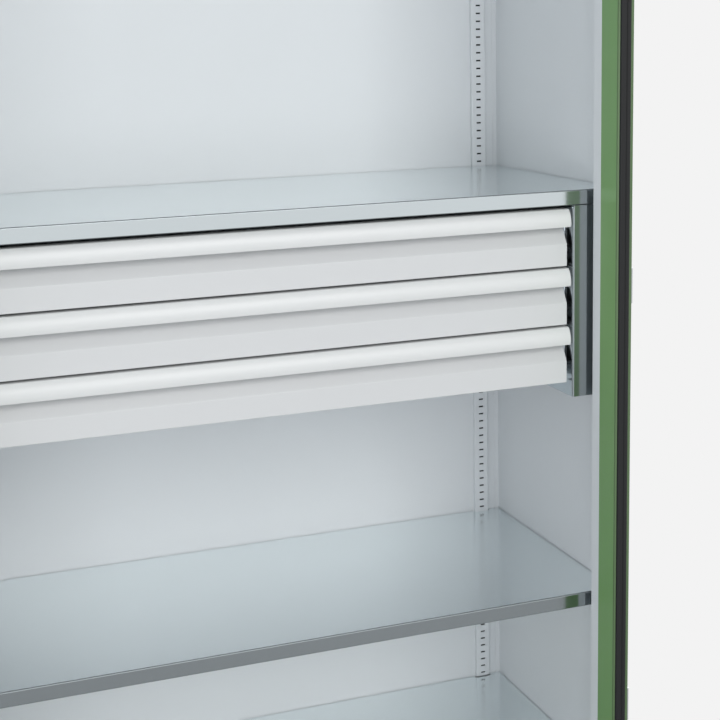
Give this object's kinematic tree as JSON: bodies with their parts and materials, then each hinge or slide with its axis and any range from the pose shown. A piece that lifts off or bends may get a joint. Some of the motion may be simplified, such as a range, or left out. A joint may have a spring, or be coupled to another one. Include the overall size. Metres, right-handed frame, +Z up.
{
  "type": "storage cabinet",
  "caption": "Tall open-fronted steel storage cabinet with slotted uprights, bright sheet shelves, a hanging drawer unit and two doors that fold right back.",
  "frame": {"origin": "middle of the outline on the floor, with both doors folded right back", "axes": "+Z up, -Y the open front, +X the right-hand side seen from the front"},
  "size_m": [1.282, 0.738, 1.95],
  "materials": {
    "carcass_paint": "light grey textured powder coat",
    "frame_paint": "green powder coat",
    "seal_rubber": "black rubber",
    "bright_steel": "bright galvanised sheet",
    "zinc": "zinc plated steel",
    "black_plastic": "black glass-filled plastic",
    "tray_paint": "light grey powder coat",
    "drawer_paint": "light grey powder coat",
    "grip_paint": "pale grey coated aluminium strip"
  },
  "bodies": {
    "cabinet": {"left_side_panel": "carcass_paint", "right_side_panel": "carcass_paint", "back_panel": "carcass_paint", "top_panel": "carcass_paint", "floor_panel": "carcass_paint", "plinth_rails": "carcass_paint", "plinth_ends": "carcass_paint", "rear_upright_left": "carcass_paint", "rear_upright_right": "carcass_paint", "front_upright_left": "carcass_paint", "front_upright_right": "carcass_paint", "frame_stile_left": "frame_paint", "frame_stile_right": "frame_paint", "frame_rail_top": "frame_paint", "frame_rail_bottom": "frame_paint", "side_seals": "seal_rubber", "cross_seals": "seal_rubber", "upper_shelf": "bright_steel", "lower_shelf": "bright_steel", "floor_shelf": "bright_steel", "unit_side_left": "bright_steel", "unit_side_right": "bright_steel", "unit_rear_tie": "bright_steel", "shelf_clips": "zinc", "unit_screws": "zinc", "fixed_rails": "zinc", "wall_brackets": "zinc", "wall_pins": "zinc"},
    "left_arms": {"left_hinge_arms": "zinc"},
    "right_arms": {"right_hinge_arms": "zinc"},
    "left_leaf": {"left_door_leaf": "frame_paint", "left_door_stiffener": "frame_paint", "left_leaf_knuckles": "zinc", "left_leaf_pins": "zinc", "closing_strip": "frame_paint"},
    "right_leaf": {"right_door_leaf": "frame_paint", "right_door_stiffener": "frame_paint", "right_leaf_knuckles": "zinc", "right_leaf_pins": "zinc", "handle_rose": "black_plastic", "rod_guides": "black_plastic"},
    "handle": {"handle_lever": "black_plastic", "handle_spindle": "zinc"},
    "upper_rod": {"lock_rod_upper": "zinc"},
    "lower_rod": {"lock_rod_lower": "zinc"},
    "drawer_1": {"drawer_1_tray": "tray_paint", "drawer_1_front": "drawer_paint", "drawer_1_grip": "grip_paint", "drawer_1_runners": "zinc"},
    "rails_1": {"drawer_1_middle_rails": "zinc"},
    "drawer_2": {"drawer_2_tray": "tray_paint", "drawer_2_front": "drawer_paint", "drawer_2_grip": "grip_paint", "drawer_2_runners": "zinc"},
    "rails_2": {"drawer_2_middle_rails": "zinc"},
    "drawer_3": {"drawer_3_tray": "tray_paint", "drawer_3_front": "drawer_paint", "drawer_3_grip": "grip_paint", "drawer_3_runners": "zinc"},
    "rails_3": {"drawer_3_middle_rails": "zinc"}
  },
  "joints": [
    {"name": "left_door", "type": "hinge", "parent": "cabinet", "child": "left_arms", "pos_m": [-0.61225, -0.295, 0.975], "axis": [0, 0, -1], "range_deg": [-180, 0]},
    {"name": "left_door_fold", "type": "hinge", "parent": "left_arms", "child": "left_leaf", "pos_m": [-0.6365, -0.233, 0.975], "axis": [0, 0, -1], "range_deg": [-90, 0]},
    {"name": "right_door", "type": "hinge", "parent": "cabinet", "child": "right_arms", "pos_m": [0.61225, -0.295, 0.975], "axis": [0, 0, 1], "range_deg": [-180, 0]},
    {"name": "right_door_fold", "type": "hinge", "parent": "right_arms", "child": "right_leaf", "pos_m": [0.6365, -0.233, 0.975], "axis": [0, 0, 1], "range_deg": [-90, 0]},
    {"name": "handle_turn", "type": "hinge", "parent": "right_leaf", "child": "handle", "pos_m": [0.602, 0.3085, 1.01], "axis": [1, 0, 0], "range_deg": [-90, 0]},
    {"name": "upper_rod_slide", "type": "slide", "parent": "right_leaf", "child": "upper_rod", "axis": [0, 0, 1], "range_m": [0, 0.0185]},
    {"name": "lower_rod_slide", "type": "slide", "parent": "right_leaf", "child": "lower_rod", "axis": [0, 0, -1], "range_m": [0, 0.0185]},
    {"name": "drawer_1_slide", "type": "slide", "parent": "cabinet", "child": "drawer_1", "axis": [0, -1, 0], "range_m": [0, 0.4]},
    {"name": "rails_1_slide", "type": "slide", "parent": "cabinet", "child": "rails_1", "axis": [0, -1, 0], "range_m": [0, 0.2]},
    {"name": "drawer_2_slide", "type": "slide", "parent": "cabinet", "child": "drawer_2", "axis": [0, -1, 0], "range_m": [0, 0.4]},
    {"name": "rails_2_slide", "type": "slide", "parent": "cabinet", "child": "rails_2", "axis": [0, -1, 0], "range_m": [0, 0.2]},
    {"name": "drawer_3_slide", "type": "slide", "parent": "cabinet", "child": "drawer_3", "axis": [0, -1, 0], "range_m": [0, 0.4]},
    {"name": "rails_3_slide", "type": "slide", "parent": "cabinet", "child": "rails_3", "axis": [0, -1, 0], "range_m": [0, 0.2]}
  ],
  "couplings": [
    {"joint": "left_door", "follows": "left_door_fold", "ratio": 2},
    {"joint": "right_door", "follows": "right_door_fold", "ratio": 2},
    {"joint": "upper_rod_slide", "follows": "handle_turn", "m_per_rad": -0.011459},
    {"joint": "lower_rod_slide", "follows": "handle_turn", "m_per_rad": -0.011459},
    {"joint": "rails_1_slide", "follows": "drawer_1_slide", "ratio": 0.5},
    {"joint": "rails_2_slide", "follows": "drawer_2_slide", "ratio": 0.5},
    {"joint": "rails_3_slide", "follows": "drawer_3_slide", "ratio": 0.5}
  ]
}
